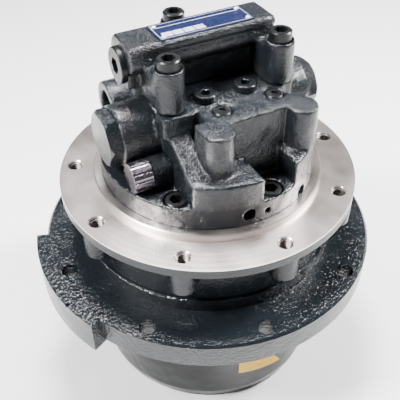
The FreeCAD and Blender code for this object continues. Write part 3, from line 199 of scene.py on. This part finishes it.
def cast_enamel(name, colour, grain_mm=2.4, grain_depth=0.3, rust=0.6):
    """Gloss enamel brushed over sand-cast iron: black, with the sand's grain sparkling through it."""
    material, tree, shader, place = new_material(name)
    dust = patches(tree, place, 34.0, 0.55, 0.85, 0.0, rust, detail=2.0)
    warm = tuple(c + extra for c, extra in zip(colour, (0.022, 0.014, 0.01)))
    gloss = patches(tree, place, 11.0, 0.4, 0.75, 0.12, 0.26)
    feed(tree, shader, {"Base Color": tinted(tree, dust, colour, warm), "Roughness": gloss, "IOR": 1.5,
                        "Specular IOR Level": 0.5})
    cast = above(tree, place, MACHINED_TOP - 1.0)
    along = add(tree, "ShaderNodeMapping", {"Vector": place, "Scale": (1.0, 1.0, 0.02)}).outputs["Vector"]
    tool = patches(tree, along, 1.6, 0.3, 0.7, 0.35, 0.65, detail=1.0)
    sand = patches(tree, place, grain_mm, 0.2, 0.8, detail=3.0)
    grain = add(tree, "ShaderNodeMix", {0: cast, 2: tool, 3: sand}, data_type="FLOAT").outputs[0]
    relief(tree, shader, [(patches(tree, place, 16.0, 0.2, 0.8, detail=1.0), 1.0), (grain, grain_depth),
                          (patches(tree, place, grain_mm * 0.5, 0.45, 0.62, detail=1.0), grain_depth * 0.35)])
    return material


def turned_enamel(name, colour):
    """Gloss enamel sprayed over turned iron: smoother, with thin tool marks and a faint orange peel."""
    material, tree, shader, place = new_material(name)
    scuff = patches(tree, place, 12.0, 0.45, 0.8, 0.14, 0.3)
    flange = above(tree, place, FLANGE_BOTTOM, 1.0)
    # painted shade: below the sprocket flange's underside the same enamel is darkened to 0.3 of its colour
    painted_shade_under_flange = tuple(c * 0.3 for c in colour)
    feed(tree, shader, {"Base Color": tinted(tree, flange, painted_shade_under_flange, colour), "Roughness": scuff, "IOR": 1.5,
                        "Specular IOR Level": 0.4})
    sand = patches(tree, place, 3.0, 0.25, 0.75, 0.0, 1.0, detail=2.0)
    rough = add(tree, "ShaderNodeMix", {0: flange, 2: 0.5, 3: sand}, data_type="FLOAT").outputs[0]
    relief(tree, shader, [(patches(tree, place, 20.0, 0.2, 0.8, detail=1.0), 0.5), (rough, 0.45),
                          (patches(tree, place, 1.5, 0.3, 0.7, detail=1.0), 0.06)])
    return material


def faced_flange(name, steel, enamel):
    """The flange's face and pilot are bare turned steel; from the edge down it is enamelled iron."""
    material, tree, shader, place = new_material(name)
    bare = above(tree, place, -1.2)
    stain = patches(tree, place, 70.0, 0.3, 0.8, 0.0, 0.6, detail=1.5)
    pink = tuple(c * f for c, f in zip(steel, (0.8, 0.7, 0.69)))
    worn = patches(tree, place, 50.0, 0.3, 0.8, 0.25, 0.36, detail=2.0)
    painted = patches(tree, place, 11.0, 0.4, 0.75, 0.16, 0.36)
    rough = add(tree, "ShaderNodeMix", {0: bare, 2: painted, 3: worn}, data_type="FLOAT")
    feed(tree, shader, {"Base Color": tinted(tree, bare, enamel, tinted(tree, stain, steel, pink)),
                        "Metallic": bare, "Roughness": rough.outputs[0], "Specular IOR Level": 0.3})
    rings = add(tree, "ShaderNodeTexWave", {"Vector": place, "Scale": 55.0, "Distortion": 0.4,
                                            "Detail": 2.0, "Detail Scale": 30.0},
                wave_type="RINGS", rings_direction="Z")
    skin = add(tree, "ShaderNodeMix", {0: bare, 2: patches(tree, place, 2.6, 0.2, 0.8, detail=3.0),
                                       3: rings.outputs["Fac"]}, data_type="FLOAT")
    depth = add(tree, "ShaderNodeMix", {0: bare, 2: 1.0, 3: 0.08}, data_type="FLOAT")
    height = add(tree, "ShaderNodeMath", {0: skin.outputs[0], 1: depth.outputs[0]}, operation="MULTIPLY")
    relief(tree, shader, [(height.outputs[0], 0.22)])
    return material


def worked_metal(name, colour, rough=0.3, metallic=1.0, grain_mm=1.2, depth=0.02):
    """Machined or plated metal with a fine even grain and a few dull spots."""
    material, tree, shader, place = new_material(name)
    dark = tuple(c * 0.72 for c in colour)
    feed(tree, shader, {"Base Color": tinted(tree, patches(tree, place, 6.0, 0.35, 0.7), colour, dark),
                        "Metallic": metallic,
                        "Roughness": patches(tree, place, 4.0, 0.3, 0.7, rough, rough + 0.14)})
    relief(tree, shader, [(patches(tree, place, grain_mm, 0.2, 0.8, detail=2.0), depth)])
    return material


def rubber(name, colour):
    """Moulded nitrile rubber: dull, with a fine skin."""
    material, tree, shader, place = new_material(name)
    feed(tree, shader, {"Base Color": (*colour, 1.0), "Roughness": 0.7})
    relief(tree, shader, [(patches(tree, place, 1.0, 0.2, 0.8, detail=2.0), 0.03)])
    return material


def printed_plate(name, ink, paper):
    """Aluminium plate printed dark blue, with a pale border line and a row of blank white boxes."""
    material, tree, shader, place = new_material(name)
    flat = add(tree, "ShaderNodeMapping", {"Vector": place, "Location": valve_point(PLATE_U, PLATE_N, 0.0),
                                           "Rotation": (0.0, 0.0, VALVE_TURN)},
               vector_type="TEXTURE").outputs["Vector"]
    inner = within(tree, flat, (0.0, 0.0), (38.8, 11.8))
    line = within(tree, flat, (0.0, 0.0), (38.4, 11.4))
    colour = tinted(tree, inner, ink, paper)
    colour = tinted(tree, line, colour, ink)
    for left in (-35.5, -26.5, -17.5, -8.5):
        box = within(tree, flat, (left + 4.1, -6.2), (4.1, 3.4))
        colour = tinted(tree, box, colour, paper)
    rule = within(tree, flat, (0.0, 6.4), (35.5, 0.35))
    colour = tinted(tree, rule, colour, paper)
    grime = patches(tree, place, 9.0, 0.5, 0.75, 0.0, 0.35)
    feed(tree, shader, {"Base Color": tinted(tree, grime, colour, linear("#14161C")), "Metallic": 0.3,
                        "Roughness": patches(tree, place, 7.0, 0.3, 0.7, 0.22, 0.4)})
    relief(tree, shader, [(patches(tree, place, 1.0, 0.2, 0.8, detail=2.0), 0.02)])
    return material


# ------------------------------------------------------------ making and finishing pieces

def piece_from(form, name, material, body):
    """Turns a finished form into a piece that rides on a body."""
    mesh = bpy.data.meshes.new(name)
    form.to_mesh(mesh)
    form.free()
    thing = bpy.data.objects.new(name, mesh)
    bpy.context.scene.collection.objects.link(thing)
    mesh.materials.append(material)
    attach(thing, body)
    return thing


def merged_copy(node):
    """The form of a carried-over node with its loose triangles joined."""
    form = bmesh.new()
    form.from_mesh(frame["nodes"][node].data)
    bmesh.ops.remove_doubles(form, verts=form.verts, dist=0.00002)
    return form


def push(form, corners, along):
    """Adds a solid: a face through the corners, pushed along a vector."""
    face = form.faces.new([form.verts.new(corner) for corner in corners])
    pushed = bmesh.ops.extrude_face_region(form, geom=[face])["geom"]
    bmesh.ops.translate(form, vec=along, verts=[v for v in pushed if isinstance(v, bmesh.types.BMVert)])


def ring(form, middle, inner_mm, outer_mm, low_mm, high_mm, steps=48):
    """Adds a ring of rectangular section that stands upright round a place."""
    corners = [(inner_mm, low_mm), (outer_mm, low_mm), (outer_mm, high_mm), (inner_mm, high_mm)]
    verts = [form.verts.new(Vector((middle.x + r * MM, middle.y, z * MM))) for r, z in corners]
    edges = [form.edges.new((verts[k], verts[k - 1])) for k in range(4)]
    bmesh.ops.spin(form, geom=verts + edges, cent=middle, axis=(0, 0, 1), angle=math.tau, steps=steps,
                   use_merge=True)


def applied(thing, kind, **settings):
    """Adds a modifier and applies it at once."""
    modifier = thing.modifiers.new("step", kind)
    for key, value in settings.items():
        setattr(modifier, key, value)
    bpy.context.view_layer.update()
    evaluated = thing.evaluated_get(bpy.context.evaluated_depsgraph_get())
    mesh = bpy.data.meshes.new_from_object(evaluated)
    thing.modifiers.clear()
    old = thing.data
    thing.data = mesh
    bpy.data.meshes.remove(old)


def cast_skin(form, node, name, material, grid, passes=8, most=190000):
    """Stands for a cast node with a skin whose edges and inner corners are rounded as a casting's are."""
    thing = piece_from(form, name, material, "frame_side")
    applied(thing, "REMESH", mode="VOXEL", voxel_size=grid)
    form = bmesh.new()
    form.from_mesh(thing.data)
    cast = [vert for vert in form.verts if vert.co.z > MACHINED_TOP * MM]
    for _ in range(passes):
        bmesh.ops.smooth_vert(form, verts=cast, factor=0.5, use_axis_x=True, use_axis_y=True,
                              use_axis_z=True)
    bmesh.ops.smooth_vert(form, verts=form.verts, factor=0.5, use_axis_x=True, use_axis_y=True,
                          use_axis_z=True)
    for vert in form.verts:
        across = math.hypot(vert.co.x, vert.co.y)
        if vert.co.z < MACHINED_TOP * MM and abs(across - RING_R * MM) < 0.5 * MM:
            vert.co.x *= RING_R * MM / across
            vert.co.y *= RING_R * MM / across
    form.to_mesh(thing.data)
    form.free()
    triangles = 2 * len(thing.data.polygons)
    if triangles > most:
        applied(thing, "DECIMATE", ratio=most / triangles)
    thing.data.materials.clear()
    thing.data.materials.append(material)
    for face in thing.data.polygons:
        face.use_smooth = True
    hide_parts(node)
    return thing


def port_block_form():
    """The port block, with its rib and left pad brought out to the casting's full width."""
    form = merged_copy("motor_cover")
    rib = [(-22, 25), (-22, 75.5), (-32, 70.5), (-75, 46), (-75, 25)]
    push(form, [valve_point(-52.0, n, z) for n, z in rib], valve_point(7.0, 0, 0))
    pad = [(-52.0, -75.8), (-46.0, -79.8), (-40.0, -83.0), (-40.0, -60.0), (-52.0, -60.0)]
    push(form, [valve_point(u, n, 25.0) for u, n in pad], Vector((0, 0, 22 * MM)))
    wall = [(-6.0, -91.9), (0.9, -92.1), (0.9, -56.0), (-6.0, -56.0)]
    push(form, [valve_point(u, n, 24.0) for u, n in wall], Vector((0, 0, 23 * MM)))
    foot = [(-56.0, -36.0), (-30.0, -37.5), (-27.0, -30.0), (-27.0, -20.0), (-56.0, -20.0)]
    push(form, [valve_point(u, n, 64.0) for u, n in foot], Vector((0, 0, 19 * MM)))
    push(form, [valve_point(u, n, 12.0) for u, n in ((-68.0, -62.0), (-62.0, -68.0), (-60.6, -66.4),
                                                     (-66.4, -60.6))], Vector((0, 0, 12 * MM)))
    return form


def valve_block_form():
    """The valve block, with the collars round its screw heads."""
    form = merged_copy("valve_block")
    for u, n in EAR_PLACES:
        ring(form, valve_point(u, n, 0.0), 9.8, 11.8, 112.5, 118.5)
    return form


def finish_nodes(material, names):
    """Gives carried-over nodes one finish."""
    for name in names:
        thing = frame["nodes"][name]
        thing.data.materials.clear()
        thing.data.materials.append(material)


class DRIVE_OT_castings(bpy.types.Operator):
    """Cast port block and valve block in gloss enamel"""
    bl_idname = "drive.castings"
    bl_label = "Castings"

    def execute(self, context):
        finishes = context.scene.drive_finishes
        sizes = context.scene.drive_sizes
        enamel = cast_enamel("gloss_enamel_on_cast_iron", tuple(finishes.enamel))
        cast_skin(port_block_form(), "motor_cover", "motor_cover_casting", enamel, sizes.grid)
        cast_skin(valve_block_form(), "valve_block", "valve_block_casting", enamel, sizes.grid)
        finish_nodes(enamel, ["counterbalance_plugs"])
        return {"FINISHED"}


class DRIVE_OT_fitting(bpy.types.Operator):
    """Square pilot fitting and its fluted plated cap"""
    bl_idname = "drive.fitting"
    bl_label = "Pilot fitting"

    def execute(self, context):
        finishes = context.scene.drive_finishes
        enamel = cast_enamel("gloss_enamel_on_forged_steel", tuple(finishes.enamel), grain_mm=3.0,
                             grain_depth=0.12)
        zinc = worked_metal("bright_zinc_plate", tuple(finishes.zinc), rough=0.16, grain_mm=2.2, depth=0.08)
        dark = worked_metal("enamelled_plug_steel", linear("#14161A"), rough=0.2, metallic=0.0, depth=0.05)
        side = valve_point(FITTING_SHIFT, 0.0, 0.0)
        sunk = valve_point(2.1, 4.0, -3.5)
        for node, name, material, slot, shift in (
                ("pilot_adapter", "pilot_fitting", enamel, "black_paint", side),
                ("adapter_cap", "pilot_cap", zinc, "zinc_cap", side),
                ("deck_plugs", "raised_deck_plugs", dark, "dark_screw", sunk)):
            form = merged_copy(node)
            bmesh.ops.translate(form, vec=shift, verts=form.verts)
            bmesh.ops.dissolve_limit(form, angle_limit=math.radians(1.0), verts=form.verts, edges=form.edges)
            sharp = [e for e in form.edges if len(e.link_faces) == 2 and e.calc_face_angle() > math.radians(40)]
            bmesh.ops.bevel(form, geom=sharp, offset=0.5 * MM, offset_type="OFFSET", segments=2, profile=0.5,
                            affect="EDGES", clamp_overlap=True, material=-1)
            bmesh.ops.triangulate(form, faces=form.faces)
            thing = piece_from(form, name, material, "frame_side")
            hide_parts(node)
        return {"FINISHED"}


class DRIVE_OT_hub(bpy.types.Operator):
    """Sprocket hub and end cover in gloss enamel, with the blank strip on the gear housing"""
    bl_idname = "drive.hub"
    bl_label = "Hub"

    def execute(self, context):
        finishes = context.scene.drive_finishes
        enamel = turned_enamel("gloss_enamel_on_turned_iron", tuple(finishes.enamel))
        finish_nodes(enamel, ["hub", "end_cover"])
        film = worked_metal("yellow_vinyl_film", tuple(finishes.strip), rough=0.35, metallic=0.0, depth=0.03)
        radius, start, steps = HOUSING_R + 0.12, 286.0, 24
        form = bmesh.new()
        ends = [form.verts.new(self.place(radius, start, z)) for z in (-153.0, -169.0)]
        edge = form.edges.new(ends)
        bmesh.ops.spin(form, geom=ends + [edge], cent=(0, 0, 0), axis=(0, 0, 1),
                       angle=math.radians(25.0), steps=steps)
        for vert in form.verts:
            share = (math.degrees(math.atan2(vert.co.y, vert.co.x)) % 360.0 - start) / 25.0
            upper = vert.co.z > -0.160
            sweep, height = (20.0, -153.0 - 10.0 * share) if upper else (25.0, -169.0 - 9.0 * share)
            vert.co = self.place(radius, start + sweep * share, height)
        bmesh.ops.recalc_face_normals(form, faces=form.faces)
        bmesh.ops.solidify(form, geom=form.faces[:], thickness=0.18 * MM)
        thing = piece_from(form, "housing_strip", film, "hub_side")
        for face in thing.data.polygons:
            face.use_smooth = False
        return {"FINISHED"}

    def place(self, radius, degrees, height):
        turn = math.radians(degrees)
        return Vector((radius * math.cos(turn), radius * math.sin(turn), height)) * MM


class DRIVE_OT_bare_metal(bpy.types.Operator):
    """Turned frame flange, socket screws and the steel inside"""
    bl_idname = "drive.bare_metal"
    bl_label = "Bare metal"

    def execute(self, context):
        finishes = context.scene.drive_finishes
        finish_nodes(faced_flange("faced_steel_over_enamel", tuple(finishes.steel), tuple(finishes.enamel)),
                     ["spindle"])
        finish_nodes(worked_metal("blackened_steel", linear("#1C1D1F"), rough=0.26, metallic=0.5),
                     ["case_screws", "valve_block_screws", "deck_plugs", "sunk_plugs", "spool_end_plugs",
                      "end_cover_screws", "oil_plugs"])
        steel = worked_metal("ground_steel", linear("#A9ABAF"), rough=0.22)
        by_slot = {"inner_steel": steel,
                   "bronze": worked_metal("cast_bronze", linear("#B08648"), rough=0.3),
                   "inner_iron": worked_metal("oiled_iron", linear("#5C5E61"), rough=0.38),
                   "elastomer": rubber("nitrile_rubber", linear("#17181A"))}
        for part in frame["record"]["subparts"]:
            if part["material_slot"] in by_slot:
                finish_nodes(by_slot[part["material_slot"]], [part["node"]])
        finish_nodes(worked_metal("rivet_aluminium", linear("#C8CACC"), rough=0.25), ["nameplate_rivets"])
        # cut steel threads whose colour is darkened well below the turned face's steel as painted shade inside
        # the tapped holes
        self.threads(worked_metal("thread_steel_and_painted_hole_shade", linear("#7C7371"), rough=0.36))
        return {"FINISHED"}

    def threads(self, steel):
        """Thread turns that stand in the tapped holes of the frame flange."""
        pitch, turns, steps, depth = 2.0, 8, 20, 1.0
        form = bmesh.new()
        for count in range(9):
            turn = math.radians(21.0 + 40.0 * count)
            middle = Vector((117.5 * math.cos(turn), 117.5 * math.sin(turn), 0.0)) * MM
            section = [(HOLE_R, -1.4), (HOLE_R, -1.4 - 0.8 * pitch), (HOLE_R - depth, -1.4 - 0.4 * pitch)]
            verts = [form.verts.new(Vector((middle.x + r * MM, middle.y, z * MM))) for r, z in section]
            edges = [form.edges.new((verts[k], verts[k - 1])) for k in range(3)]
            bmesh.ops.spin(form, geom=verts + edges, cent=middle, axis=(0, 0, 1), angle=math.tau * turns,
                           dvec=(0, 0, -pitch * MM / steps), steps=steps * turns)
        bmesh.ops.holes_fill(form, edges=[e for e in form.edges if e.is_boundary])
        bmesh.ops.recalc_face_normals(form, faces=form.faces)
        piece_from(form, "frame_hole_threads", steel, "frame_side")


class DRIVE_OT_plate(bpy.types.Operator):
    """Rating plate with blank boxes"""
    bl_idname = "drive.plate"
    bl_label = "Rating plate"

    def execute(self, context):
        finishes = context.scene.drive_finishes
        plate = printed_plate("printed_aluminium_plate", tuple(finishes.plate), linear("#B9BDCB"))
        finish_nodes(plate, ["nameplate"])
        return {"FINISHED"}


class DRIVE_OT_stage(bpy.types.Operator):
    """Pale floor, soft lights and camera"""
    bl_idname = "drive.stage"
    bl_label = "Stage"

    def execute(self, context):
        low, high = CAD_BOX
        form = bmesh.new()
        bmesh.ops.create_grid(form, x_segments=1, y_segments=1, size=6.0)
        bmesh.ops.translate(form, verts=form.verts, vec=(0, 0, low[2]))
        mesh = bpy.data.meshes.new("floor")
        form.to_mesh(mesh)
        form.free()
        floor = bpy.data.objects.new("floor", mesh)
        context.scene.collection.objects.link(floor)
        material, tree, shader, place = new_material("matt_white_sweep")
        feed(tree, shader, {"Base Color": (0.78, 0.78, 0.78, 1.0), "Roughness": 0.9, "Specular IOR Level": 0.1})
        mesh.materials.append(material)

        world = bpy.data.worlds.new("soft_white")
        world.use_nodes = True
        world.node_tree.nodes["Background"].inputs["Color"].default_value = (1.0, 1.0, 1.0, 1.0)
        world.node_tree.nodes["Background"].inputs["Strength"].default_value = 0.18
        context.scene.world = world
        soft_light(context, "key", (-0.85, -0.45, 0.95), 0.28, 56.0)
        soft_light(context, "side", (0.9, 0.25, 0.8), 0.28, 56.0)
        soft_light(context, "top", (-0.1, 0.3, 1.3), 0.4, 62.0)

        camera = bpy.data.objects.new("camera", bpy.data.cameras.new("camera"))
        context.scene.collection.objects.link(camera)
        distance, elevation = 0.5651, math.radians(37.45)
        yaw, pitch, roll = -0.0111, -0.0580, -0.0009
        place = Vector((0, -distance * math.cos(elevation), distance * math.sin(elevation)))
        ahead = -place.normalized()
        side = Vector((1, 0, 0))
        up = side.cross(ahead)
        ahead = (ahead + side * math.tan(yaw) + up * math.tan(pitch)).normalized()
        side = ahead.cross(up).normalized()
        up = side.cross(ahead)
        turn = Matrix((side, up, -ahead)).transposed() @ Matrix.Rotation(roll, 3, "Z")
        camera.matrix_world = Matrix.Translation(place) @ turn.to_4x4()
        camera.data.lens = 56.889
        camera.data.sensor_width = 36.0
        camera.data.clip_start = 0.02
        context.scene.camera = camera
        return {"FINISHED"}


def soft_light(context, name, place, width, power):
    light = bpy.data.lights.new(name, "AREA")
    light.size = width
    light.energy = power
    thing = bpy.data.objects.new(name, light)
    thing.location = place
    thing.rotation_euler = (Vector((0, 0, -0.05)) - Vector(place)).to_track_quat("-Z", "Y").to_euler()
    context.scene.collection.objects.link(thing)


class DRIVE_PT_panel(bpy.types.Panel):
    """Lists the drive's pieces in the sidebar"""
    bl_label = "Final drive"
    bl_space_type = "VIEW_3D"
    bl_region_type = "UI"
    bl_category = "Final drive"

    def draw(self, context):
        for group in (context.scene.drive_sizes, context.scene.drive_finishes):
            for name in group.bl_rna.properties.keys():
                if name not in ("rna_type", "name"):
                    self.layout.prop(group, name)
        for operator in OPERATORS:
            self.layout.operator(operator.bl_idname)


OPERATORS = (DRIVE_OT_stage, DRIVE_OT_castings, DRIVE_OT_fitting, DRIVE_OT_hub, DRIVE_OT_bare_metal,
             DRIVE_OT_plate)


def register():
    for kind in (DriveFinishes, DriveSizes, *OPERATORS, DRIVE_PT_panel):
        bpy.utils.register_class(kind)
    bpy.types.Scene.drive_finishes = bpy.props.PointerProperty(type=DriveFinishes)
    bpy.types.Scene.drive_sizes = bpy.props.PointerProperty(type=DriveSizes)


def unregister():
    del bpy.types.Scene.drive_finishes
    del bpy.types.Scene.drive_sizes
    for kind in (DRIVE_PT_panel, *reversed(OPERATORS), DriveSizes, DriveFinishes):
        bpy.utils.unregister_class(kind)


def main():
    register()
    bpy.ops.drive.stage()
    bpy.ops.drive.bare_metal()
    bpy.ops.drive.castings()
    bpy.ops.drive.fitting()
    bpy.ops.drive.hub()
    bpy.ops.drive.plate()


if __name__ == "__main__":
    main()
